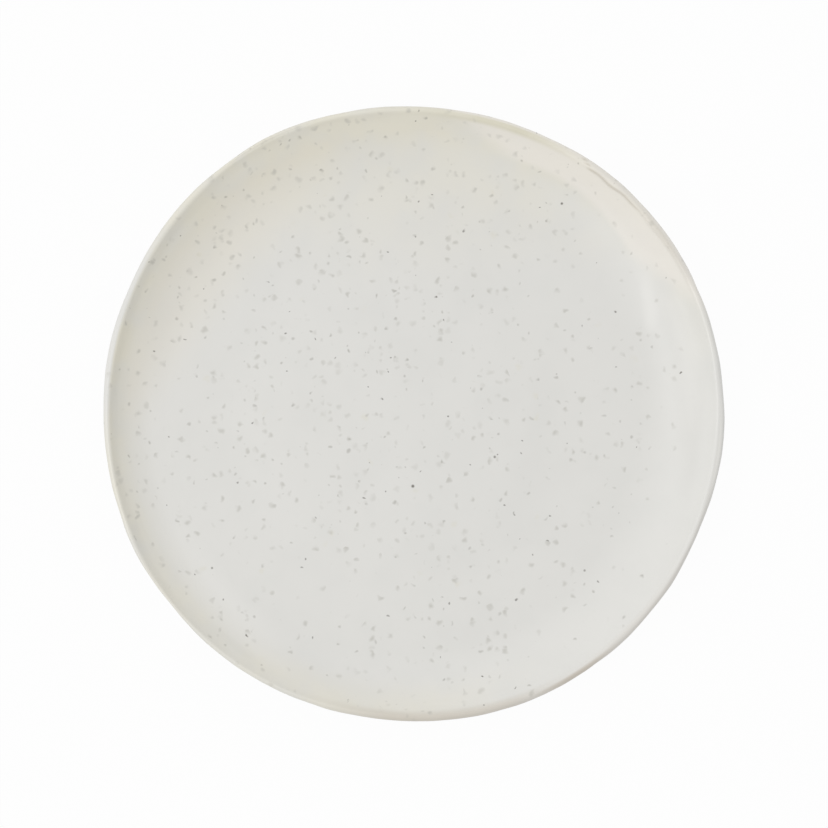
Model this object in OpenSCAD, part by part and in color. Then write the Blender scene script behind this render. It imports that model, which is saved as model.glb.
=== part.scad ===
// Breakfast plate in speckled stoneware: a flat well, a wall that curves up to a rounded lip, and a
// turned foot ring. The thrown outline is a little out of round, so the wall is swept along tangent
// arcs and not round one circle. Sizes are in millimetres and angles in degrees. The origin is the
// centre of the foot ring on the table, +Z is up, and turns are counted from +X towards +Y.

/* [Plate] */
// Mean diameter over the lip
plate_d = 220; // [205:1:250]
// Height of the lip above the table
plate_h = 18.5; // [16.5:0.5:24]
// Level width from the outside of the lip in to the edge of the flat floor
wall_run = 26; // [23:0.5:32]
// Thickness of the floor, glaze included
floor_t = 5.5; // [4.5:0.1:7]
// Thickness of the rounded lip, glaze included
lip_t = 3.4; // [2.6:0.1:4.2]

/* [Thrown outline] */
// How far the oval stands out from the mean radius
oval_rise = 0.54; // [0:0.02:1]
// Direction of the oval's long axis
oval_turn = -22; // [-90:1:90]
// How far the three-sided sway stands out from the mean radius
three_rise = 0.25; // [0:0.05:0.6]
// Direction of one side of the three-sided sway
three_turn = 21; // [-60:1:60]
// How far the four-sided sway stands out from the mean radius
four_rise = 0.35; // [0:0.05:0.6]
// Direction of one side of the four-sided sway
four_turn = 31; // [-45:1:45]

/* [Floor crown] */
// Rise of the middle of the floor above its edge
crown_h = 0.8; // [0.1:0.05:1]
// Level width of the slope round the raised middle
crown_slope_w = 24; // [16:1:26]

/* [Foot ring] */
// Level distance from the outside of the lip in to the outside of the ring
foot_inset = 52; // [48:1:60]
// Width of the ring
foot_w = 5; // [3.5:0.1:8]
// Height of the glazed underside above the table
foot_h = 3; // [2:0.1:5]
// Radius of the ring's two standing edges
foot_edge_r = 1.2; // [0.5:0.1:1.6]
// Radius of the turned corners between the ring and the underside
foot_fillet_r = 1; // [0.4:0.1:1.4]

/* [Glaze] */
// Thickness of the glaze
glaze_t = 0.5; // [0.3:0.05:0.8]
// Width of clay wiped bare beside the ring
bare_w = 1.6; // [1.5:0.1:3]

/* [Hidden] */
$fn = 180;
clay_colour = [0.80, 0.74, 0.64];
glaze_colour = [0.86, 0.855, 0.84];

// Chords in the crown's slope and in each rounded edge of the foot ring and the beads
crown_chords = 8;
edge_chords = 4;

// Heights of the glazed surfaces, and of the clay below the glaze
floor_z = foot_h + floor_t;
clay_floor_z = floor_z - glaze_t;
clay_under_z = foot_h + glaze_t;

// Radii from the centre of the plate, at its mean outline
plate_r = plate_d / 2;
floor_r = plate_r - wall_run;
under_r = floor_r - floor_t;
foot_r = plate_r - foot_inset;
foot_bore_r = foot_r - foot_w;
coat_edge_r = foot_r + bare_w;
foot_well_r = foot_bore_r - bare_w;

// The round core and the swept wall overlap in a flat band between the foot ring and the wall
seam_lap = 3;
seam_r = (coat_edge_r + under_r) / 2;
core_r = seam_r + seam_lap;

// Lip circle in the profile, as [radius, height], and the smaller circle that the wall's arcs touch,
// so that the lip's own surface crosses them cleanly
lip_lap = 0.01;
lip_r = lip_t / 2;
touch_r = lip_r - lip_lap;
lip_centre = [plate_r - lip_r, plate_h - lip_r];

// Arc inside the wall, tangent to the floor and to the lip
well_run = lip_centre.x - floor_r;
well_rise = lip_centre.y - floor_z;
well_arc_r = (well_run ^ 2 + well_rise ^ 2 - touch_r ^ 2) / (2 * (well_rise + touch_r));
well_centre = [floor_r, floor_z + well_arc_r];

// Arc outside the wall, tangent to the underside and to the lip
under_run = lip_centre.x - under_r;
under_rise = lip_centre.y - foot_h;
under_arc_r = (under_run ^ 2 + under_rise ^ 2 - touch_r ^ 2) / (2 * (under_rise - touch_r));
under_centre = [under_r, foot_h + under_arc_r];

// The wall ends on a line through the lip's centre, square to the wall, that reaches past both arcs
lip_turn = (atan2(well_rise - well_arc_r, well_run) + atan2(under_rise - under_arc_r, under_run)) / 2;
lip_reach = 2 * lip_t * [cos(lip_turn), sin(lip_turn)];

// The outline is this many tangent arcs, each over the same angle
outline_arcs = 12;
arc_angle = 360 / outline_arcs;

// Points of an arc after its start, up to its end
function arc(centre, r, from, to, chords) =
    [for (i = [1:chords]) let (a = from + (to - from) * i / chords) centre + r * [cos(a), sin(a)]];

function reversed(points) = [for (i = [len(points) - 1:-1:0]) points[i]];

// Change in the outline's radius of curvature where a sway of so many sides stands out by rise
function sway(sides, rise, turn, a) = (1 - sides ^ 2) * rise * cos(sides * (a - turn));

function outline_r(i) =
    let (a = (i + 0.5) * arc_angle)
    plate_r + sway(2, oval_rise, oval_turn, a) + sway(3, three_rise, three_turn, a)
    + sway(4, four_rise, four_turn, a);

// Centre of an outline arc from the first one's: neighbours share the line on which they meet
function arc_shift(i) =
    i == 0
    ? [0, 0]
    : arc_shift(i - 1) + (outline_r(i - 1) - outline_r(i)) * [cos(i * arc_angle), sin(i * arc_angle)];

arc_shifts = [for (i = [0:outline_arcs - 1]) arc_shift(i)];
mean_shift = [for (i = [1:outline_arcs]) 1 / outline_arcs] * arc_shifts;

// Profile of the floor from the axis over the crown's slope to the edge of the round core
function floor_curve(z) =
    concat(
        [[0, z + crown_h]],
        [
            for (i = [0:crown_chords])
            [
                foot_bore_r + crown_slope_w * (i / crown_chords - 0.5),
                z + crown_h * (1 + cos(180 * i / crown_chords)) / 2
            ]
        ],
        [[core_r, z]]
    );

// Profile of the foot ring from the inside of the underside to the outside
function foot_curve() =
    concat(
        [[foot_bore_r - foot_fillet_r, clay_under_z]],
        arc([foot_bore_r - foot_fillet_r, clay_under_z - foot_fillet_r], foot_fillet_r, 90, 0, edge_chords),
        [[foot_bore_r, foot_edge_r]],
        arc([foot_bore_r + foot_edge_r, foot_edge_r], foot_edge_r, 180, 270, edge_chords),
        [[foot_r - foot_edge_r, 0]],
        arc([foot_r - foot_edge_r, foot_edge_r], foot_edge_r, 270, 360, edge_chords),
        [[foot_r, clay_under_z - foot_fillet_r]],
        arc([foot_r + foot_fillet_r, clay_under_z - foot_fillet_r], foot_fillet_r, 180, 90, edge_chords)
    );

// Sweeps a wall profile, drawn at the mean outline, along the tangent arcs
module sweep_outline() {
    for (i = [0:outline_arcs - 1])
        translate(concat(arc_shifts[i] - mean_shift, 0))
            rotate_extrude(angle = arc_angle, start = i * arc_angle)
                translate([outline_r(i) - plate_r, 0])
                    children();
}

// Section through the wall from the seam to the lip, this far inside the glazed surface
module wall_section(depth) {
    difference() {
        intersection() {
            union() {
                translate(under_centre) circle(r = under_arc_r - depth);
                translate([seam_r, foot_h + depth]) square([under_r - seam_r, floor_t - 2 * depth]);
            }
            polygon([
                [seam_r, 0],
                [plate_r + lip_t, 0],
                lip_centre + lip_reach,
                lip_centre - lip_reach,
                [floor_r, floor_z - depth],
                [seam_r, floor_z - depth]
            ]);
        }
        translate(well_centre) circle(r = well_arc_r + depth);
    }
    translate(lip_centre) circle(r = lip_r - depth);
}

module clay_core() {
    polygon(concat(
        floor_curve(clay_floor_z),
        [[core_r, clay_under_z]],
        reversed(foot_curve()),
        [[0, clay_under_z]]
    ));
}

module coat_wall() {
    difference() {
        wall_section(0);
        wall_section(glaze_t);
    }
}

module coat_floor() {
    polygon(concat(floor_curve(floor_z), reversed(floor_curve(clay_floor_z))));
}

// The coat under the plate ends in a rounded bead short of the foot ring
module coat_underside() {
    polygon(concat(
        [[core_r, clay_under_z], [coat_edge_r, clay_under_z]],
        arc([coat_edge_r + glaze_t, clay_under_z], glaze_t, 180, 270, edge_chords),
        [[core_r, foot_h]]
    ));
}

// Fired clay: the floor, the wall and the foot ring in one piece
module stoneware_body() {
    color(clay_colour) {
        sweep_outline() wall_section(glaze_t);
        rotate_extrude() clay_core();
    }
}

// Glaze over the floor, the lip and the outside of the wall
module glaze_coat() {
    color(glaze_colour) {
        sweep_outline() coat_wall();
        rotate_extrude() coat_floor();
        rotate_extrude() coat_underside();
    }
}

// Glaze inside the foot ring, with the same beaded edge
module foot_well_glaze() {
    color(glaze_colour)
        rotate_extrude()
            polygon(concat(
                [[0, clay_under_z], [0, foot_h], [foot_well_r - glaze_t, foot_h]],
                arc([foot_well_r - glaze_t, clay_under_z], glaze_t, 270, 360, edge_chords)
            ));
}

stoneware_body();
glaze_coat();
foot_well_glaze();
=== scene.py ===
# %% [markdown]
# # A speckled stoneware plate
#
# The plate is thrown clay under a satin glaze. It stands on a turned foot ring that is wiped bare, so a
# second, separate pool of glaze lies inside the ring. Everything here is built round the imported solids: they
# give the frame, the sizes and the place of each piece, and three finer pieces then stand in for them.

# %% Load the frame
import math

import bmesh
import bpy
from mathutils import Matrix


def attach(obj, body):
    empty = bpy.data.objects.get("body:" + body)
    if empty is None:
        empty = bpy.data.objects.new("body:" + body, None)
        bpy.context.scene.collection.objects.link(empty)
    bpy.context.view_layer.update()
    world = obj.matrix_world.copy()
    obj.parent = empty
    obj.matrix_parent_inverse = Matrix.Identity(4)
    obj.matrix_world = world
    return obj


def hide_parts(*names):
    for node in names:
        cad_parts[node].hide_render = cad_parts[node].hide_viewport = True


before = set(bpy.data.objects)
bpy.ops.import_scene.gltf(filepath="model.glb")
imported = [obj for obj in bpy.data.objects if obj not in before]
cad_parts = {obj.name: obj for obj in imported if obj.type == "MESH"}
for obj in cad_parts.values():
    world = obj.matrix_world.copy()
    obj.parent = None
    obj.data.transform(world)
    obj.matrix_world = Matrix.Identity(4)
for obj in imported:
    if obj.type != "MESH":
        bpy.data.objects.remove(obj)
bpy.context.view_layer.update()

print("solids:", sorted(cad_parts))

# %% [markdown]
# ## Sizes
#
# The solids were drawn from a few lengths, and the finer pieces have to agree with them to a hair. A mesh
# could be measured instead, but a length that has a name is easier to read and to change. Blender counts in
# metres, so each length is written in millimetres and multiplied once.

# %% Lengths of the plate
MM = 0.001
plate_r = 110 * MM
plate_h = 18.5 * MM
wall_run = 26 * MM
floor_t = 5.5 * MM
lip_r = 1.7 * MM
crown_h = 0.8 * MM
crown_slope_w = 24 * MM
foot_r = 58 * MM
foot_w = 5 * MM
foot_h = 3 * MM
foot_edge_r = 1.2 * MM
foot_fillet_r = 1 * MM
glaze_t = 0.5 * MM
bare_w = 1.6 * MM

floor_z = foot_h + floor_t
clay_under_z = foot_h + glaze_t
floor_r = plate_r - wall_run
under_r = floor_r - floor_t
foot_bore_r = foot_r - foot_w
coat_edge_r = foot_r + bare_w
foot_well_r = foot_bore_r - bare_w
seam_r = (coat_edge_r + under_r) / 2
print(f"plate {2000 * plate_r:.0f} mm across, floor {1000 * floor_z:.1f} mm above the table")

# %% [markdown]
# ## The wall's section
#
# Seen in section, the wall is three arcs: a slow one under it, a tight one over the lip and a slow one
# inside. Where two arcs meet they share a tangent, so no line shows in the glaze. The lip's circle lies inside
# the outer arc and outside the inner one, and those two touches fix both radii.

# %% Arcs of the wall
lip_centre = (plate_r - lip_r, plate_h - lip_r)


def touching_radius(foot_x, foot_z, side):
    """Radius of the arc from a level line at this foot to the lip, which it touches from outside for side 1."""
    run = lip_centre[0] - foot_x
    rise = lip_centre[1] - foot_z
    return (run ** 2 + rise ** 2 - lip_r ** 2) / (2 * (rise + side * lip_r))


well_arc_r = touching_radius(floor_r, floor_z, 1)
under_arc_r = touching_radius(under_r, foot_h, -1)
well_centre = (floor_r, floor_z + well_arc_r)
under_centre = (under_r, foot_h + under_arc_r)


def bearing(start, end):
    """Angle of the line between two points of the section, counted from level."""
    return math.atan2(end[1] - start[1], end[0] - start[0])


under_end = bearing(under_centre, lip_centre)
lip_end = bearing(lip_centre, well_centre)
print(f"arcs: under the wall {1000 * under_arc_r:.1f} mm, in the well {1000 * well_arc_r:.1f} mm")

# %% [markdown]
# ## The thrown outline
#
# A plate off the wheel is never quite round: the clay eases as it dries. Twelve arcs of slightly different
# radius, each tangent to the next, follow that ease. Spinning the section about one centre after another
# keeps every joint smooth, which scaling a round plate along one axis wouldn't do.

# %% Centres and radii of the outline's arcs
outline_arcs = 12
arc_angle = math.radians(360 / outline_arcs)
# Sides of each sway, how far it stands out, and the direction of one side
sways = ((2, 0.54 * MM, -22), (3, 0.25 * MM, 21), (4, 0.35 * MM, 31))


def outline_r(i):
    """Radius of one arc of the outline: the mean radius and what each sway adds there."""
    middle = (i + 0.5) * arc_angle
    parts = ((1 - n ** 2) * rise * math.cos(n * (middle - math.radians(turn))) for n, rise, turn in sways)
    return plate_r + sum(parts)


arc_centres = [(0.0, 0.0)]
for i in range(1, outline_arcs):
    step = outline_r(i - 1) - outline_r(i)
    x, y = arc_centres[-1]
    arc_centres.append((x + step * math.cos(i * arc_angle), y + step * math.sin(i * arc_angle)))
mean_x = sum(x for x, y in arc_centres) / outline_arcs
mean_y = sum(y for x, y in arc_centres) / outline_arcs
arc_centres = [(x - mean_x, y - mean_y) for x, y in arc_centres]
print("outline radii in mm:", [round(1000 * outline_r(i), 2) for i in range(outline_arcs)])

# %% [markdown]
# ## Tools for the modelling
#
# An operator acts on the active piece, and in edit mode on what is selected, so two small helpers choose the
# piece and pick points by their place. Spin turns the other way round when there is no window, so one helper
# gives it the sign that makes a turn run from +X towards +Y, or from +X towards +Z in a section.

# %% Helpers
columns_per_arc = 32
columns = columns_per_arc * outline_arcs
LEVEL_AXIS = (0, 0, 1)
SECTION_AXIS = (0, -1, 0)
border_slack = 0.02 * MM
weld_reach = 0.01 * MM


def act_on(piece):
    """Makes a piece the one that the next operators act on."""
    bpy.ops.object.select_all(action="DESELECT")
    piece.select_set(True)
    bpy.context.view_layer.objects.active = piece


def pick(piece, test):
    """Selects the points of a piece in edit mode that pass the test, and the edges between them."""
    mesh = bmesh.from_edit_mesh(piece.data)
    mesh.select_mode = {"VERT"}
    for vert in mesh.verts:
        vert.select = test(vert)
    mesh.select_flush_mode()
    bmesh.update_edit_mesh(piece.data)
    return sum(vert.select for vert in mesh.verts)


def spin(turn, steps, centre, axis):
    bpy.ops.mesh.spin(steps=steps, angle=-turn, center=centre, axis=axis)


def spin_section(turn, steps, centre):
    """Draws an arc of the section about a centre given as (radius, height)."""
    spin(turn, steps, (centre[0], 0, centre[1]), SECTION_AXIS)


def draw_level(run, steps):
    for _ in range(steps):
        bpy.ops.mesh.extrude_region_move(TRANSFORM_OT_translate={"value": (run / steps, 0, 0)})


def extrude_ring(radius, height, to_radius, to_height):
    """Extrudes the selected ring about the plate's axis to another radius and height."""
    bpy.ops.mesh.extrude_edges_move(TRANSFORM_OT_translate={"value": (0, 0, to_height - height)})
    scale = to_radius / radius
    bpy.ops.transform.resize(value=(scale, scale, 1), center_override=(0, 0, to_height))


def extrude_rings(path):
    """Extrudes the selected ring through points (radius, height), the first of which is where it stands."""
    for (radius, height), (to_radius, to_height) in zip(path, path[1:]):
        extrude_ring(radius, height, to_radius, to_height)


def radius_of(place):
    return math.hypot(place.x, place.y)


def on_ring(radius, height, slack):
    """Test for points on a true circle about the plate's axis."""
    return lambda vert: abs(radius_of(vert.co) - radius) < slack and abs(vert.co.z - height) < slack


def on_border(height):
    """Test for points of an open border at this height."""
    return lambda vert: vert.is_boundary and abs(vert.co.z - height) < border_slack


# %% [markdown]
# ## The thrown surface
#
# The whole outer surface is one skin: from the edge of the glaze below, round the outside of the wall, over
# the lip and down across the floor. It starts as a single point, which is a plane merged to its middle.
# Extruding and spinning that point draws the section, and twelve more spins sweep it along the outline.

# %% Draw the section
bpy.ops.object.select_all(action="DESELECT")
bpy.ops.mesh.primitive_plane_add(size=MM)
skin = bpy.context.object
skin.name = skin.data.name = "glaze_skin"
bpy.ops.object.mode_set(mode="EDIT")
bpy.ops.mesh.select_all(action="SELECT")
bpy.ops.mesh.merge(type="CENTER")
bpy.ops.transform.translate(value=(seam_r, 0, foot_h))
draw_level(under_r - seam_r, steps=3)
spin_section(under_end + math.pi / 2, steps=16, centre=under_centre)
spin_section(lip_end - under_end, steps=22, centre=lip_centre)
# The steps are finer by the lip, where the marks of the hand are narrow
fine_run = 7 * MM
by_the_lip = fine_run / well_arc_r
spin_section(-by_the_lip, steps=16, centre=well_centre)
spin_section(by_the_lip - (lip_end - math.pi / 2), steps=18, centre=well_centre)
draw_level(seam_r - floor_r, steps=6)
section_points = len(bmesh.from_edit_mesh(skin.data).verts)
print("points in the section:", section_points)

# %% Sweep it along the outline
bpy.ops.mesh.select_all(action="SELECT")
first_x, first_y = arc_centres[0]
bpy.ops.transform.translate(value=(first_x + outline_r(0) - plate_r, first_y, 0))
for centre_x, centre_y in arc_centres:
    spin(arc_angle, columns_per_arc, (centre_x, centre_y, 0), LEVEL_AXIS)
bpy.ops.mesh.select_all(action="SELECT")
bpy.ops.mesh.remove_doubles(threshold=weld_reach)
print("points in the swept wall:", len(bmesh.from_edit_mesh(skin.data).verts))

# %% [markdown]
# ## The round middle
#
# Inside the swept wall the plate is truly round, as the wheel left it. A loose circle could be bridged to
# the wall's border, but a bridge between two flat rings may come out twisted. So the border itself is
# extruded, set on a true circle and extruded on inwards. The floor swells by under a millimetre inside the
# foot ring, where the clay was thickest. The last ring is merged into the pole.

# %% Floor
crown_in_r = foot_bore_r - crown_slope_w / 2
crown_out_r = foot_bore_r + crown_slope_w / 2
crown_steps = 10
floor_path = []
for i in range(crown_steps + 1):
    share = i / crown_steps
    lift = crown_h * (1 - math.cos(math.pi * share)) / 2
    floor_path.append((crown_out_r - crown_slope_w * share, floor_z + lift))
middle_steps = 8
middle_end = 2 * MM
for i in range(1, middle_steps + 1):
    floor_path.append((crown_in_r + (middle_end - crown_in_r) * i / middle_steps, floor_z + crown_h))


def set_on_circle(piece, radius, height):
    """Moves the selected points to a true circle about the plate's axis, each in its own direction."""
    mesh = bmesh.from_edit_mesh(piece.data)
    for vert in mesh.verts:
        if vert.select:
            turn = math.atan2(vert.co.y, vert.co.x)
            vert.co = (radius * math.cos(turn), radius * math.sin(turn), height)
    bmesh.update_edit_mesh(piece.data)


def add_round_middle(piece, path):
    """Extrudes the wall's border at the path's height to a true circle, and that circle along the path."""
    radius, height = path[0]
    pick(piece, on_border(height))
    bpy.ops.mesh.extrude_edges_move()
    set_on_circle(piece, radius, height)
    extrude_rings(path)


add_round_middle(skin, floor_path)
bpy.ops.mesh.merge(type="CENTER")
print("rings in the floor:", len(floor_path))

# %% Underside
seam_gap = 3 * MM
next_gap = 5.5 * MM
under_path = [(seam_r - seam_gap, foot_h), (seam_r - next_gap, foot_h), (coat_edge_r, foot_h)]
add_round_middle(skin, under_path)
bpy.ops.mesh.select_all(action="SELECT")
bpy.ops.mesh.remove_doubles(threshold=weld_reach)
bpy.ops.mesh.normals_make_consistent(inside=False)
bpy.ops.object.mode_set(mode="OBJECT")
floor_face = max(skin.data.polygons, key=lambda face: face.normal.z)
print("faces in the skin:", len(skin.data.polygons), "floor faces up:", round(floor_face.normal.z, 3))

# %% [markdown]
# ## Marks of the hand
#
# A ruler-straight surface looks like plastic. The floor of a thrown plate is seldom quite in its middle, so
# it is moved a little, and the wall follows. A Displace modifier then pushes the whole skin along its normals
# by a slow cloud pattern, which is the same on each run, because it has no random start.

# %% Shift of the floor
floor_shift = (-4 * MM, -2 * MM, 0)
shift_reach = 26 * MM


def on_floor(vert):
    near_floor = abs(vert.co.z - floor_z - crown_h / 2) < 0.6 * crown_h
    return near_floor and radius_of(vert.co) < floor_r


bpy.ops.object.mode_set(mode="EDIT")
count = pick(skin, on_floor)
bpy.ops.transform.translate(
    value=floor_shift,
    use_proportional_edit=True,
    use_proportional_connected=True,
    proportional_edit_falloff="SMOOTH",
    proportional_size=shift_reach,
)
bpy.ops.object.mode_set(mode="OBJECT")
print("points of the floor that moved:", count)

# %% Ease of the whole surface
def cloud_texture(name, size, depth):
    texture = bpy.data.textures.new(name, "CLOUDS")
    texture.noise_scale = size
    texture.noise_depth = depth
    return texture


def push_by_clouds(piece, texture, strength, group=""):
    """Displaces a piece along its normals, by at most half the strength each way, and applies it."""
    act_on(piece)
    modifier = piece.modifiers.new(texture.name, "DISPLACE")
    modifier.texture = texture
    modifier.texture_coords = "LOCAL"
    modifier.strength = strength
    modifier.mid_level = 0.5
    modifier.vertex_group = group
    bpy.ops.object.modifier_apply(modifier=modifier.name)


push_by_clouds(skin, cloud_texture("slow_ease", 46 * MM, 1), 0.5 * MM)
print("skin box:", [round(1000 * side, 2) for side in skin.dimensions])

# %% [markdown]
# ## The wall and the lip
#
# The wall isn't the same all round. On the left it is a little hollow below the lip, and on the right it
# turns up sooner. To the upper right the rim was folded outwards: it stands higher there, with a crease inside
# it. A Displace modifier pushes points along their normals by their weights, so each mark is a rule that weighs
# a point by its direction and its place on the wall. Towards the lower left and near the top the lip is
# narrower. A push along the normals would thin it all round, so there its points are moved outwards instead.

# %% Rules for a point
def direction_of(place):
    return math.degrees(math.atan2(place.y, place.x))


def soft(share):
    """0 up to 0 and 1 from 1, with soft ends."""
    share = min(max(share, 0), 1)
    return share * share * (3 - 2 * share)


def window(place, middle, reach):
    """1 in one direction, falling softly to 0 this many degrees to either side."""
    away = abs((direction_of(place) - middle + 180) % 360 - 180)
    return soft(1 - away / reach)


def swell(place, inner, peak, outer):
    """1 at the peak's distance from the axis in millimetres, falling softly to 0 at the other two."""
    radius = radius_of(place) / MM
    return soft((radius - inner) / (peak - inner)) * soft((outer - radius) / (outer - peak))


def inset_of(place):
    """How far a point lies inside the edge of the plate, seen from above."""
    turn = math.atan2(place.y, place.x)
    edge_r = plate_r + sum(rise * math.cos(n * (turn - math.radians(start))) for n, rise, start in sways)
    return edge_r - radius_of(place)


def shoulder(place, normal):
    """1 where the lip faces half up and half out, and 0 where it faces straight up or straight out."""
    outwards = (place.x * normal.x + place.y * normal.y) / radius_of(place)
    if place.z < plate_h - 2 * lip_r or outwards < 0 or normal.z < 0:
        return 0
    return 4 * (outwards * normal.z) ** 2


# %% Pushes by weight
def weigh(piece, name, rule):
    """Makes a group in which each point has the weight that the rule gives its place and normal."""
    group = piece.vertex_groups.new(name=name)
    count = 0
    for vert in piece.data.vertices:
        weight = rule(vert.co, vert.normal)
        if weight > 0.001:
            group.add([vert.index], weight, "REPLACE")
            count += 1
    print(name, "weighs", count, "points")


def push_by_weight(piece, name, depth, rule, direction="NORMAL"):
    """Displaces the points that a rule weighs, along their normals or along an axis."""
    weigh(piece, name, rule)
    act_on(piece)
    modifier = piece.modifiers.new(name, "DISPLACE")
    modifier.direction = direction
    modifier.strength = depth
    modifier.mid_level = 0
    modifier.vertex_group = name
    bpy.ops.object.modifier_apply(modifier=name)


# %% Wall
def on_top(rule):
    """Keeps a rule for places to the points that face up."""
    return lambda place, normal: rule(place) if normal.z > 0.2 else 0


def left_hollow(place):
    return window(place, 182, 72) * swell(place, 94, 104.5, 108.8)


def left_slope(place):
    return window(place, 190, 45) * swell(place, 82, 95, 103)


def right_turn(place):
    return window(place, 8, 34) * swell(place, 86, 94.5, 104)


def raised_rim(place, normal):
    return window(place, 51, 30) * soft((radius_of(place) / MM - 97) / 9)


push_by_weight(skin, "left_hollow", -0.7 * MM, on_top(left_hollow))
push_by_weight(skin, "left_slope", -0.4 * MM, on_top(left_slope))
push_by_weight(skin, "right_turn", 0.25 * MM, on_top(right_turn))
push_by_weight(skin, "raised_rim", 0.9 * MM, raised_rim, "Z")

# %% Narrow lip
lip_draw = 1.2 * MM
lip_shoulder = 2.9 * MM
lip_foot = 8.5 * MM
# Direction, reach in degrees and gain of each narrow stretch
narrow_stretches = ((225, 47, 1.6), (118, 30, 0.8), (96, 22, 0.3), (20, 15, 0.25))


def narrowness(place):
    """How much narrower the lip is in a point's direction."""
    return max(min(gain * window(place, middle, reach), 1) for middle, reach, gain in narrow_stretches)


def draw_lip_out(piece):
    """Moves the top of the rim outwards: most at the lip's inner shoulder, and not at its outer edge."""
    stretches = {}
    for vert in piece.data.vertices:
        inset = inset_of(vert.co)
        if vert.normal.z > -0.2 and vert.co.z > floor_z and 0 < inset < lip_foot:
            way_in = soft((lip_foot - inset) / (lip_foot - lip_shoulder))
            move = lip_draw * narrowness(vert.co) * soft(inset / lip_shoulder) * way_in
            stretches[vert.index] = 1 + move / radius_of(vert.co)
    for index, stretch in stretches.items():
        place = piece.data.vertices[index].co
        piece.data.vertices[index].co = (place.x * stretch, place.y * stretch, place.z)
    print("points of the rim looked at:", len(stretches))


draw_lip_out(skin)

# %% Ease of the outline
# Direction, reach in degrees and depth of each ease
outline_eases = (
    (119, 16, 0.65 * MM),
    (90, 14, -0.4 * MM),
    (353, 13, 0.6 * MM),
    (335, 11, -0.4 * MM),
    (209, 12, 0.45 * MM),
)


def facing_out(place, normal):
    """1 where the lip faces straight out, falling to 0 where it faces up or down."""
    outwards = (place.x * normal.x + place.y * normal.y) / radius_of(place)
    return soft((outwards - 0.2) / 0.6) * soft((radius_of(place) / MM - 104) / 3)


for middle, reach, depth in outline_eases:
    def eased(place, normal):
        return window(place, middle, reach) * facing_out(place, normal)

    push_by_weight(skin, f"ease_{middle}", depth, eased)

# %% Folded rim
fold_start, fold_full, fold_end = 16, 36, 57
fold_width = 2.6 * MM
fold_waver = 0.18 * MM
rim_top = plate_h - 6 * MM


def crease_inset(turn):
    """Width of the folded band in one direction: it widens slowly, ends short, and wavers."""
    if not fold_start < turn < fold_end:
        return 0
    width = fold_width * min((turn - fold_start) / (fold_full - fold_start), (fold_end - turn) / 3, 1)
    return width + fold_waver * (math.sin(math.radians(turn * 31)) + math.sin(math.radians(turn * 67 + 40)))


def crease_softness(turn):
    """Width over which the crease falls: sharp near the end of the fold, and spreading out to the right."""
    return 0.7 * MM + 1.6 * MM * soft((46 - turn) / 14)


def folded(place, normal):
    """Weight of the band: it grows from the outer shoulder in to the crease, and stops there."""
    crease = crease_inset(direction_of(place))
    inset = inset_of(place)
    if place.z < rim_top or crease <= 0 or normal.z < 0:
        return 0
    rise = min(max((inset - 0.5 * MM) / (1.8 * MM), 0), 1)
    return rise * soft((crease - inset) / crease_softness(direction_of(place)) + 0.5)


def fold_slope(place, normal):
    return shoulder(place, normal) * window(place, 48, 17)


push_by_weight(skin, "fold", 0.5 * MM, folded)
push_by_weight(skin, "fold_slope", -0.15 * MM, fold_slope)

# %% Ease of the lip
lip_depth = 4.5 * MM
lip_blend = 2 * MM


def near_lip(place, normal):
    return min(max((place.z - plate_h + lip_depth) / lip_blend, 0), 1)


weigh(skin, "lip", near_lip)
push_by_clouds(skin, cloud_texture("lip_ease", 21 * MM, 2), 0.8 * MM, "lip")

# %% [markdown]
# ## Where the glaze is thin, and where painted shade lies on the edge
#
# Molten glaze runs off an edge, and the clay then shows through. The same buff also paints shade in the crease,
# on the fold and where the lower right edge rolls away from the light. One patch of the lip is yellower and
# darker, and to the left of the top the lip is kept white, a painted highlight where it catches the light. All
# three follow the plate's own edge, which isn't a circle, so they are kept on the points as attributes for the
# finish to read.

# %% Thin glaze and painted shade
# Share, direction, reach in degrees, gain, width and softness of each stretch of the edge with thin glaze and
# painted shade
thin_and_shaded_edges = (
    (0.7, 276, 32, 1.3, 4.4 * MM, 2.6 * MM),
    (0.4, 318, 50, 1.0, 2.4 * MM, 1.6 * MM),
    (0.9, 302, 17, 1.0, 2.7 * MM, 1.4 * MM),
    (0.3, 314, 22, 1.0, 3.8 * MM, 2.2 * MM),
)


def band(inset, start, rise, end, fall):
    """1 between two insets from the edge, with the widths over which it rises and falls."""
    return soft((inset - start) / rise) * soft((end - inset) / fall)


def thinness_and_shade(place):
    """How much buff is laid on: painted shade in the crease and on the fold, and thin glaze with painted shade
    along the lower and lower right edge.
    """
    turn = direction_of(place)
    inset = inset_of(place)
    crease = crease_inset(turn)
    # The buff in the crease and on the fold is painted shade; along the edge it is thin glaze and painted
    # shade.
    shade_in_crease = 0
    if crease > 0:
        shade_in_crease = 0.6 * soft((turn - 38) / 8) * soft(1 - abs(inset - crease - 0.1 * MM) / (0.7 * MM))
    shade_on_fold = 0.36 * window(place, 33, 15) * band(inset, 0.7 * MM, MM, 3.6 * MM, 1.2 * MM)
    edge_thin_and_shade = max(
        share * min(gain * window(place, middle, reach), 1) * soft((width - inset) / softness)
        for share, middle, reach, gain, width, softness in thin_and_shaded_edges
    )
    return max(shade_in_crease, shade_on_fold, edge_thin_and_shade)


def yellowness(place):
    """How much yellower and darker the top of the lip is: in one patch, to the right of the top."""
    return window(place, 72, 22) * band(inset_of(place), 0.5 * MM, 0.9 * MM, 4.0 * MM, 1.6 * MM)


def lip_highlight(place):
    """How much of a painted highlight keeps the lip white, to the left of the top, where it catches the light.
    """
    return min(1.5 * window(place, 164, 32), 1) * soft((2.4 * MM - inset_of(place)) / (0.9 * MM))


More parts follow.
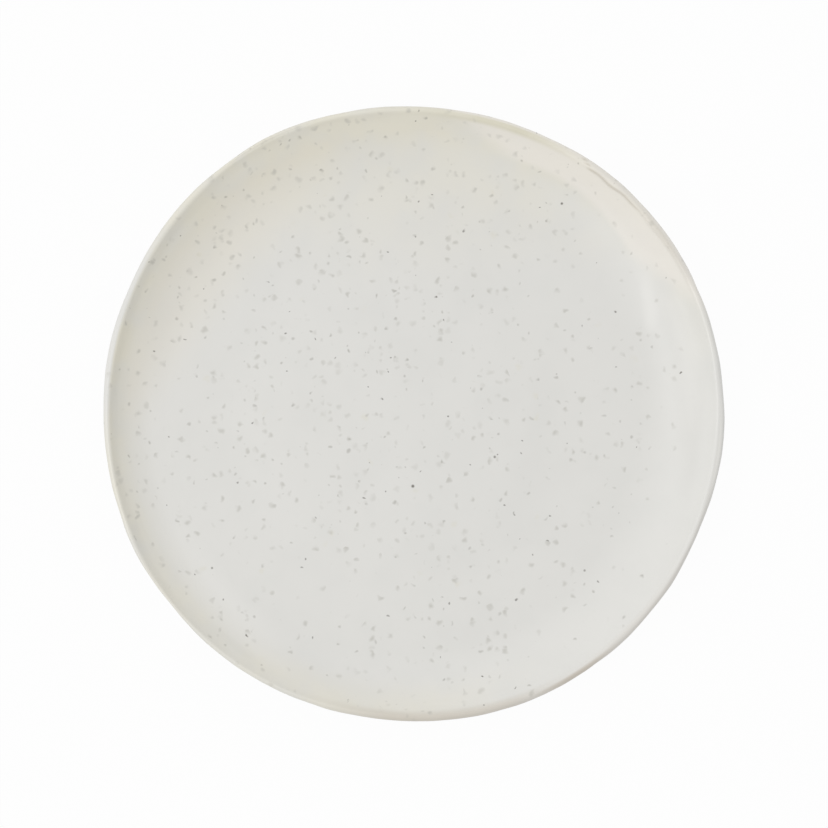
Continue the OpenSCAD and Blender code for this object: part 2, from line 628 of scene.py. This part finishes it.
def keep_on_points(piece, name, rule):
    """Keeps what a rule gives each point near the top of the rim as an attribute of the piece."""
    values = piece.data.attributes.new(name, "FLOAT", "POINT")
    for vert in piece.data.vertices:
        values.data[vert.index].value = rule(vert.co) if vert.co.z > rim_top else 0
    print(name, "on", sum(item.value > 0.01 for item in values.data), "points")


keep_on_points(skin, "thin_glaze_and_shade", thinness_and_shade)
keep_on_points(skin, "yellow_glaze", yellowness)
keep_on_points(skin, "painted_highlight_lip", lip_highlight)

# %% [markdown]
# ## The clay body
#
# Under the glaze lies the same surface, half a millimetre further in. So the clay is a copy of the skin,
# shrunk along its normals, and its open border is then extruded down and up again round the foot ring and
# across the underside. Only the ring shows on the finished plate.

# %% Copy and shrink
act_on(skin)
bpy.ops.object.duplicate()
clay = bpy.context.object
clay.name = clay.data.name = "clay_body"
bpy.ops.object.mode_set(mode="EDIT")
bpy.ops.mesh.select_all(action="SELECT")
bpy.ops.transform.shrink_fatten(value=-glaze_t)


def flatten_border(piece, radius, height):
    """Sets the open border, which the clouds moved a little, back on its true circle."""
    pick(piece, lambda vert: vert.is_boundary)
    set_on_circle(piece, radius, height)


bpy.ops.mesh.select_mode(type="VERT")
flatten_border(clay, coat_edge_r, clay_under_z)
print("clay starts with", len(bmesh.from_edit_mesh(clay.data).faces), "faces")

# %% Turn the foot ring
edge_steps = 6


def corner(centre_r, centre_z, radius, start, end):
    """Points of a rounded corner in the section, from one bearing to another in degrees."""
    turns = [math.radians(start + (end - start) * i / edge_steps) for i in range(edge_steps + 1)]
    return [(centre_r + radius * math.cos(turn), centre_z + radius * math.sin(turn)) for turn in turns]


fillet_z = clay_under_z - foot_fillet_r
ring_path = [(coat_edge_r, clay_under_z)]
ring_path += corner(foot_r + foot_fillet_r, fillet_z, foot_fillet_r, 90, 180)
ring_path += corner(foot_r - foot_edge_r, foot_edge_r, foot_edge_r, 0, -90)
ring_path += corner(foot_bore_r + foot_edge_r, foot_edge_r, foot_edge_r, 270, 180)
ring_path += corner(foot_bore_r - foot_fillet_r, fillet_z, foot_fillet_r, 0, 90)
inner_rings = (0.9, 0.7, 0.45, 0.2, 0.05)
ring_path += [(foot_well_r * share, clay_under_z) for share in inner_rings]
extrude_rings(ring_path)
bpy.ops.mesh.merge(type="CENTER")
bpy.ops.mesh.select_all(action="SELECT")
bpy.ops.mesh.normals_make_consistent(inside=False)
bpy.ops.object.mode_set(mode="OBJECT")
bpy.ops.object.shade_smooth()
lowest = min(vert.co.z for vert in clay.data.vertices)
print("clay faces:", len(clay.data.polygons), "lowest point:", round(1000 * lowest, 3), "mm")

# %% [markdown]
# ## The glaze over the plate
#
# Glaze is a skin with a thickness, so Solidify gives the thrown surface half a millimetre inwards, down to
# the clay. Its cut edge by the foot ring would be square. Molten glaze draws back into a bead, so that one
# ring of edges is picked by its place and bevelled.

# %% Thicken and bead
bead_offset = 0.8 * glaze_t
bead_slack = 0.1 * MM


def thicken_and_bead(piece, edge_r):
    """Gives a glaze its thickness and rounds the lower corner of its cut edge."""
    act_on(piece)
    solidify = piece.modifiers.new("thickness", "SOLIDIFY")
    solidify.thickness = glaze_t
    solidify.offset = -1
    bpy.ops.object.modifier_apply(modifier=solidify.name)
    bpy.ops.object.mode_set(mode="EDIT")
    bpy.ops.mesh.select_mode(type="VERT")
    count = pick(piece, on_ring(edge_r, foot_h, bead_slack))
    bpy.ops.mesh.bevel(offset=bead_offset, offset_type="OFFSET", segments=4, affect="EDGES")
    bpy.ops.object.mode_set(mode="OBJECT")
    bpy.ops.object.shade_smooth()
    print(piece.name, "beads", count, "points and has", len(piece.data.polygons), "faces")


act_on(skin)
bpy.ops.object.mode_set(mode="EDIT")
bpy.ops.mesh.select_mode(type="VERT")
flatten_border(skin, coat_edge_r, foot_h)
bpy.ops.object.mode_set(mode="OBJECT")
thicken_and_bead(skin, coat_edge_r)

# %% [markdown]
# ## The glaze inside the foot ring
#
# The wiped ring parts this pool of glaze from the rest. It is a disc with the same beaded edge: a circle
# extruded inwards to a pole and thickened towards the clay.

# %% Disc
bpy.ops.object.select_all(action="DESELECT")
bpy.ops.mesh.primitive_circle_add(
    vertices=columns,
    radius=foot_well_r,
    location=(0, 0, foot_h),
    fill_type="NOTHING",
)
well_glaze = bpy.context.object
well_glaze.name = well_glaze.data.name = "foot_well_pool"
bpy.ops.object.transform_apply(location=True, rotation=True, scale=True)
bpy.ops.object.mode_set(mode="EDIT")
bpy.ops.mesh.select_all(action="SELECT")
pool_steps = 14
extrude_rings([(foot_well_r * (1 - i / (pool_steps + 0.5)), foot_h) for i in range(pool_steps + 1)])
bpy.ops.mesh.merge(type="CENTER")
bpy.ops.mesh.select_all(action="SELECT")
bpy.ops.mesh.normals_make_consistent(inside=True)
bpy.ops.object.mode_set(mode="OBJECT")
if well_glaze.data.polygons[0].normal.z > 0:
    bpy.ops.object.mode_set(mode="EDIT")
    bpy.ops.mesh.flip_normals()
    bpy.ops.object.mode_set(mode="OBJECT")
thicken_and_bead(well_glaze, foot_well_r)

# %% [markdown]
# ## Shader sums in Python
#
# A finish is a tree of nodes, and most of the nodes are sums. A small class wraps an output socket, so that
# adding or multiplying two wires adds the Math node. One method adds any other node: its kind, its settings
# and what its sockets get.

# %% The wire class
class Wire:
    """An output socket of a shader, with Python's operators for Math nodes."""

    def __init__(self, tree, socket=None):
        self.tree = tree
        self.socket = socket

    def node(self, kind, settings=None, inputs=None, output=0):
        """Adds a node with its settings and the values or wires of its sockets, and returns an output."""
        added = self.tree.nodes.new(kind)
        for name, value in (settings or {}).items():
            setattr(added, name, value)
        for name, value in (inputs or {}).items():
            if isinstance(value, Wire):
                self.tree.links.new(value.socket, added.inputs[name])
            else:
                added.inputs[name].default_value = value
        return None if output is None else Wire(self.tree, added.outputs[output])

    def math(self, operation, *values):
        return self.node("ShaderNodeMath", {"operation": operation}, dict(enumerate(values)))

    def __add__(self, other):
        return self.math("ADD", self, other)

    def __radd__(self, other):
        return self.math("ADD", other, self)

    def __sub__(self, other):
        return self.math("SUBTRACT", self, other)

    def __rsub__(self, other):
        return self.math("SUBTRACT", other, self)

    def __mul__(self, other):
        return self.math("MULTIPLY", self, other)

    def __rmul__(self, other):
        return self.math("MULTIPLY", other, self)

    def __truediv__(self, other):
        return self.math("DIVIDE", self, other)

    def __rtruediv__(self, other):
        return self.math("DIVIDE", other, self)


# %% Nodes that finishes share
def open_finish(name):
    """Starts a material and returns it with an empty wire of its tree and the object's own coordinates."""
    material = bpy.data.materials.new(name)
    material.use_nodes = True
    tree = material.node_tree
    tree.nodes.clear()
    start = Wire(tree)
    place = start.node("ShaderNodeTexCoord", output="Object")
    return material, start, place


def fade(value, low, high):
    """0 below low and 1 above high, or the other way round where low is the larger, with soft ends."""
    settings = {"interpolation_type": "SMOOTHSTEP"}
    return value.node("ShaderNodeMapRange", settings, {"Value": value, "From Min": low, "From Max": high})


def noise(place, scale, detail=2.0, roughness=0.5, output="Fac"):
    inputs = {"Vector": place, "Scale": scale, "Detail": detail, "Roughness": roughness}
    return place.node("ShaderNodeTexNoise", {"noise_dimensions": "3D"}, inputs, output)


def blend_colour(factor, first, second):
    """Blends two colours, which are sockets 6 and 7 of a Mix node. Its output for colours is number 2."""
    inputs = {"Factor": factor, 6: first, 7: second}
    return factor.node("ShaderNodeMix", {"data_type": "RGBA"}, inputs, 2)


def vector_sum(operation, *values, output="Vector"):
    wire = next(value for value in values if isinstance(value, Wire))
    return wire.node("ShaderNodeVectorMath", {"operation": operation}, dict(enumerate(values)), output)


def level_parts(place):
    """A point's place with no height, its distance from the plate's axis, and its height."""
    along_x = place.node("ShaderNodeSeparateXYZ", {}, {"Vector": place}, "X")
    along_y, height = (Wire(place.tree, along_x.socket.node.outputs[name]) for name in "YZ")
    level = place.node("ShaderNodeCombineXYZ", {}, {"X": along_x, "Y": along_y})
    return level, vector_sum("LENGTH", level, output="Value"), height


def kept_value(start, name):
    """Reads an attribute that is kept on the points."""
    return start.node("ShaderNodeAttribute", {"attribute_name": name}, {}, "Fac")


def relief_normal(height, strength, distance):
    inputs = {"Strength": strength, "Distance": distance, "Height": height}
    return height.node("ShaderNodeBump", {}, inputs, "Normal")


def colour(red, green, blue):
    return (red, green, blue, 1)


# %% [markdown]
# ## The speckled glaze
#
# Iron and ash in the clay bleed through the glaze as it melts. The photo shows wide soft blotches, small grey
# specks and a few near-black dots. Each kind is a Voronoi pattern in space: a speck sits on the middle of a
# cell, and the cell's own random colour says whether it has one and how large it is. A fine noise shifts the
# coordinates first, so that no speck is a neat disc. Five of the darkest dots catch the eye, so they are set
# one by one where they are on the real plate. Under the specks the colour changes slowly: it is cream towards
# the top, painted light and painted shade stand for part of the wall's shading, and buff marks thin glaze and
# painted shade on the edge, and each of these is one blend over the last.

# %% Specks
def specks(place, cell, reach, edge, kept, size_spread):
    """Mask and depths of specks, one in each kept cell, out to a reach, whose soft edge is a share of it."""
    inputs = {"Vector": place, "Scale": 1 / cell, "Randomness": 1.0}
    settings = {"voronoi_dimensions": "3D", "feature": "F1", "distance": "EUCLIDEAN"}
    distance = place.node("ShaderNodeTexVoronoi", settings, inputs, "Distance")
    cell_colour = Wire(place.tree, distance.socket.node.outputs["Color"])
    chance = place.node("ShaderNodeSeparateColor", {}, {"Color": cell_colour}, "Red")
    size_lot, depth_lot = (Wire(place.tree, chance.socket.node.outputs[name]) for name in ("Green", "Blue"))
    limit = (size_lot * size_spread + (1 - size_spread)) * (reach / cell)
    inside = fade(distance / limit, 1, 1 - edge)
    has_speck = chance.math("LESS_THAN", chance, kept)
    return inside * has_speck, depth_lot


# %% Glaze
cool_white = colour(0.700, 0.693, 0.664)
cream = colour(0.722, 0.694, 0.596)
mottle_grey = colour(0.672, 0.668, 0.640)
# Painted light for the paler left wall
painted_light_pale = colour(0.81, 0.80, 0.765)
# Painted shade for the greyer right wall
painted_shade_grey = colour(0.58, 0.57, 0.54)
warm_cream = colour(0.735, 0.692, 0.59)
# Painted highlight along the foot of the wall below the fold
highlight_white = colour(0.80, 0.79, 0.755)
# Painted light for the pale patch under the fold
painted_light_white = colour(0.80, 0.765, 0.71)
lip_yellow = colour(0.625, 0.595, 0.455)
# Buff of thin glaze, also used as painted shade on the edge and in the crease
buff_and_shade = colour(0.54, 0.492, 0.42)
stain_brown = colour(0.64, 0.61, 0.48)
blotch_grey = colour(0.44, 0.43, 0.385)
fleck_grey = colour(0.28, 0.27, 0.23)
dot_black = colour(0.10, 0.09, 0.07)
wander_reach = 2.0 * MM
# The painted light under the fold ends along a circle about this point
painted_light_middle = (21.5 * MM, 30.6 * MM, 0)
# Place and radius of each dot that is set one by one
placed_dots = (
    (-0.1 * MM, -26.2 * MM, 0.85 * MM),
    (29.3 * MM, -15.7 * MM, 0.7 * MM),
    (53.3 * MM, 75.1 * MM, 0.65 * MM),
    (61.6 * MM, -56.5 * MM, 0.65 * MM),
    (-72.2 * MM, -55.6 * MM, 0.6 * MM),
)


def make_glaze():
    material, start, place = open_finish("speckled_glaze")
    level, radius, height = level_parts(place)

    def towards(degrees):
        """How far a point lies towards a direction, where the edge of the plate is 1."""
        turn = math.radians(degrees)
        unit = (math.cos(turn) / plate_r, math.sin(turn) / plate_r, 0)
        return vector_sum("DOT_PRODUCT", place, unit, output="Value")

    upwards = towards(90)
    sideways = towards(0)

    # The glaze is creamier towards the top and up the wall, except on the right and on the lip left of the top,
    # kept white there as a painted highlight
    clouds = noise(place, 1 / (38 * MM), 2.0)
    patches = noise(place, 1 / (14 * MM), 2.0)
    top = fade(towards(92) + (clouds - 0.5) * 0.3, 0.38, 0.85)
    rim = fade(radius + (clouds - 0.5) * (6 * MM), 93 * MM, 107 * MM) * fade(towards(150), -0.85, -0.35)
    left = fade(towards(163), 0.80, 0.95) * 0.35
    creamy = top * 0.6 + rim * (left + 0.7) * (1 - kept_value(start, "painted_highlight_lip"))
    base = blend_colour(creamy, cool_white, cream)
    mottle = fade(patches, 0.35, 0.75)
    base = blend_colour(mottle * 0.5, base, mottle_grey)

    # Half-way up the wall painted light makes the left paler, painted shade makes the right greyer, and the
    # glaze is warmer above left
    below_lip = fade(radius, 105 * MM, 100 * MM)
    painted_light_left = fade(radius, 87 * MM, 95 * MM) * below_lip * fade(towards(202), 0.62, 0.80)
    painted_shade_right = fade(radius, 91 * MM, 98 * MM) * below_lip * fade(towards(10), 0.78, 0.88)
    cream_wall = fade(towards(143), 0.64, 0.82) * below_lip
    base = blend_colour(painted_light_left * 0.4, base, painted_light_pale)
    # Painted shade greys the right wall
    base = blend_colour(painted_shade_right * 0.3, base, painted_shade_grey)
    base = blend_colour(cream_wall * 0.4, base, warm_cream)

    # Painted light makes it paler under the fold, and buff shows thin glaze and painted shade
    thin_and_shade = kept_value(start, "thin_glaze_and_shade")
    yellow = kept_value(start, "yellow_glaze")
    distance_from_painted_light = vector_sum("DISTANCE", level, painted_light_middle, output="Value")
    painted_light_edge = fade(distance_from_painted_light, 60 * MM, 63.3 * MM)
    painted_light_patch = painted_light_edge * fade(towards(52), 0.82, 0.88) * (1 - thin_and_shade)
    # A painted highlight: a pale band along the foot of the wall below the fold
    painted_highlight_band = painted_light_edge * fade(distance_from_painted_light, 67.5 * MM, 63.5 * MM) * fade(towards(20), 0.74, 0.81)
    painted_highlight_band = painted_highlight_band * fade(upwards, 0.24, 0.30) * fade(upwards, 0.50, 0.38)
    base = blend_colour(painted_highlight_band * 0.3, base, highlight_white)
    base = blend_colour(painted_light_patch * 0.72, base, painted_light_white)
    base = blend_colour(yellow * (patches * 0.6 + 0.5), base, lip_yellow)
    base = blend_colour(thin_and_shade * (patches * 0.5 + 0.75), base, buff_and_shade)

    # Specks crowd in the middle and to the upper left, and thin out towards the edge
    crowds = noise(place, 1 / (26 * MM), 1.0)
    density = towards(147) * 0.48 - upwards * upwards * 0.3 - sideways * sideways + crowds * 1.6 + 0.45
    wander = noise(place, 1 / (2.2 * MM), 0.0, output="Color")
    offset = vector_sum("SUBTRACT", wander, (0.5, 0.5, 0.5))
    offset = vector_sum("MULTIPLY", offset, (wander_reach, wander_reach, wander_reach))
    ragged = vector_sum("ADD", place, offset)
    blotch, blotch_depth = specks(ragged, 3.0 * MM, 1.7 * MM, 0.95, density * 0.30, 0.4)
    fleck, fleck_depth = specks(ragged, 3.4 * MM, 1.0 * MM, 0.9, density * 0.27, 0.4)
    dot, dot_depth = specks(ragged, 6.0 * MM, 0.62 * MM, 0.6, density * 0.55, 0.4)
    stain, stain_depth = specks(ragged, 11 * MM, 2.2 * MM, 0.9, density * 0.5, 0.3)
    base = blend_colour(stain * (stain_depth * 0.3), base, stain_brown)
    base = blend_colour(blotch * (blotch_depth * 0.35 + 0.27), base, blotch_grey)
    base = blend_colour(fleck * (fleck_depth * 0.4 + 0.2), base, fleck_grey)

    # The dots that are set one by one belong to the upper side only
    upper = fade(height, 6 * MM, 8 * MM)
    for dot_x, dot_y, dot_r in placed_dots:
        spot = vector_sum("DISTANCE", level, (dot_x, dot_y, 0), output="Value")
        dot = dot.math("MAXIMUM", dot, fade(spot, dot_r, 0.2 * dot_r) * upper)
    base = blend_colour(dot * (dot_depth * 0.5 + 0.45), base, dot_black)

    # A slow ripple and a fine grain soften the gloss, and specks lie a little deeper
    grain = noise(place, 1 / (1.1 * MM), 3.0)
    ripple = noise(place, 1 / (9 * MM), 2.0)
    relief = ripple + grain * 0.12 - blotch * 0.10 - dot * 0.15
    bump = relief_normal(relief, 0.35, 0.15 * MM)
    shader = start.node("ShaderNodeBsdfPrincipled", {}, {
        "Base Color": base,
        "Roughness": patches * 0.08 + blotch * 0.05 + 0.29,
        "Normal": bump,
        "IOR": 1.6,
    })
    start.node("ShaderNodeOutputMaterial", {}, {"Surface": shader}, None)
    return material


speckled_glaze = make_glaze()
print("glaze nodes:", len(speckled_glaze.node_tree.nodes))

# %% [markdown]
# ## The bare stoneware
#
# Only the foot ring shows its clay: buff, matt and a little sandy, with the fine rings that the turning tool
# left. Rings about the plate's axis are a wave in the distance from that axis.

# %% Clay
dark_buff = colour(0.56, 0.48, 0.36)
pale_buff = colour(0.62, 0.54, 0.42)
sand_brown = colour(0.44, 0.36, 0.26)
grit_brown = colour(0.22, 0.16, 0.10)
turning_pitch = 0.45 * MM


def make_clay():
    material, start, place = open_finish("bare_stoneware")
    _, radius, _ = level_parts(place)
    sand = noise(place, 1 / (0.5 * MM), 3.0, 0.6)
    clouds = noise(place, 1 / (12 * MM), 2.0)
    base = blend_colour(fade(clouds, 0.3, 0.7), dark_buff, pale_buff)
    base = blend_colour(fade(sand, 0.52, 0.75) * 0.5, base, sand_brown)
    grit, grit_depth = specks(place, 1.8 * MM, 0.35 * MM, 0.5, 0.5, 0.5)
    base = blend_colour(grit * (grit_depth * 0.7 + 0.2), base, grit_brown)
    turning = radius.math("SINE", radius * (2 * math.pi / turning_pitch))
    relief = sand * 0.8 + turning * 0.25 + grit * 0.2
    bump = relief_normal(relief, 0.5, 0.08 * MM)
    shader = start.node("ShaderNodeBsdfPrincipled", {}, {
        "Base Color": base,
        "Roughness": sand * 0.1 + 0.82,
        "Normal": bump,
    })
    start.node("ShaderNodeOutputMaterial", {}, {"Surface": shader}, None)
    return material


bare_stoneware = make_clay()
print("clay nodes:", len(bare_stoneware.node_tree.nodes))

# %% [markdown]
# ## Join the pieces to the frame
#
# Each piece gets its finish, moves with the plate's one body and says which solid it stands for.

# %% Finishes and places
for piece, finish, slot, node in (
    (skin, speckled_glaze, "speckled_glaze", "glaze_coat"),
    (clay, bare_stoneware, "stoneware", "stoneware_body"),
    (well_glaze, speckled_glaze, "speckled_glaze", "foot_well_glaze"),
):
    piece.data.materials.clear()
    piece.data.materials.append(finish)
    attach(piece, "root")
    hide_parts(node)
    print(piece.name, "stands for", node)

# %% [markdown]
# ## The studio
#
# The photo is taken straight from above, on white. The table is a plain plane: the camera sees mostly its
# own white, and the rest of its shading keeps the plate's shadow. A pale sky, a little stronger on one side,
# lights everything, and one soft lamp to the left brightens the right wall and leaves the left one in shade.

# %% Table
table_grey = colour(0.65, 0.65, 0.65)
pure_white = colour(1, 1, 1)
shown_white = 0.965
table_size = 6
table_drop = 0.05 * MM


def rays_that_show(start):
    """1 for rays that show a background: from the camera, from a gloss or through glass."""
    camera_ray = start.node("ShaderNodeLightPath", output="Is Camera Ray")
    path = camera_ray.socket.node.outputs
    glossy_ray = Wire(start.tree, path["Is Glossy Ray"])
    clear_ray = Wire(start.tree, path["Is Transmission Ray"])
    return camera_ray.math("MAXIMUM", camera_ray, glossy_ray.math("MAXIMUM", glossy_ray, clear_ray))


def make_table_finish():
    material, start, _ = open_finish("white_table")
    seen = rays_that_show(start)
    paper = start.node("ShaderNodeBsdfDiffuse", {}, {"Color": table_grey})
    white = start.node("ShaderNodeEmission", {}, {"Color": pure_white, "Strength": 1.0})
    mixed = start.node("ShaderNodeMixShader", {}, {0: seen * shown_white, 1: paper, 2: white})
    start.node("ShaderNodeOutputMaterial", {}, {"Surface": mixed}, None)
    return material


bpy.ops.object.select_all(action="DESELECT")
bpy.ops.mesh.primitive_plane_add(size=table_size, location=(0, 0, -table_drop))
table = bpy.context.object
table.name = "table"
table.data.materials.append(make_table_finish())
print("table:", round(table.dimensions.x, 1), "m wide")

# %% Sky
scene = bpy.context.scene
sky_level = 0.927
sky_lean = 0.28
bright_turn = math.radians(145)
bright_side = (math.cos(bright_turn), math.sin(bright_turn), 0)


def make_sky():
    """A pale sky whose strength leans towards its bright side."""
    sky = bpy.data.worlds.new("pale_sky")
    sky.use_nodes = True
    sky.node_tree.nodes.clear()
    start = Wire(sky.node_tree)
    ray = start.node("ShaderNodeTexCoord", output="Generated")
    side = vector_sum("DOT_PRODUCT", ray, bright_side, output="Value")
    strength = side * (sky_level * sky_lean) + sky_level
    light = start.node("ShaderNodeBackground", {}, {"Color": pure_white, "Strength": strength})
    start.node("ShaderNodeOutputWorld", {}, {"Surface": light}, None)
    return sky


scene.world = make_sky()
print("sky from", sky_level * (1 - sky_lean), "to", sky_level * (1 + sky_lean))

# %% Lamp
def add_lamp(name, azimuth, zenith, distance, width, share):
    """Adds a square soft lamp that points at the plate and gives a level surface this share of its light."""
    turn = math.radians(azimuth)
    tilt = math.radians(zenith)
    lamp_data = bpy.data.lights.new(name, "AREA")
    lamp_data.shape = "SQUARE"
    lamp_data.size = width
    lamp_data.energy = share * (math.pi * distance) ** 2 / math.cos(tilt)
    lamp = bpy.data.objects.new(name, lamp_data)
    scene.collection.objects.link(lamp)
    level = distance * math.sin(tilt)
    lamp.location = (level * math.cos(turn), level * math.sin(turn), distance * math.cos(tilt))
    lamp.rotation_euler = (0, tilt, turn)
    print(name, "at", [round(part, 2) for part in lamp.location], "with", round(lamp_data.energy, 2), "W")


add_lamp("left_softbox", azimuth=197, zenith=34, distance=1.2, width=0.4, share=0.095)

# %% Camera
camera_side = 0.33 * MM
camera_lower = 0.30 * MM
camera_rise = 816 * MM
camera_data = bpy.data.cameras.new("camera")
camera_data.lens = 100
camera_data.sensor_width = 36
camera = bpy.data.objects.new("camera", camera_data)
scene.collection.objects.link(camera)
camera.location = (camera_side, -camera_lower, plate_h + camera_rise)
scene.camera = camera
scene.view_settings.view_transform = "Standard"
print("camera height:", round(camera.location.z, 3), "m")
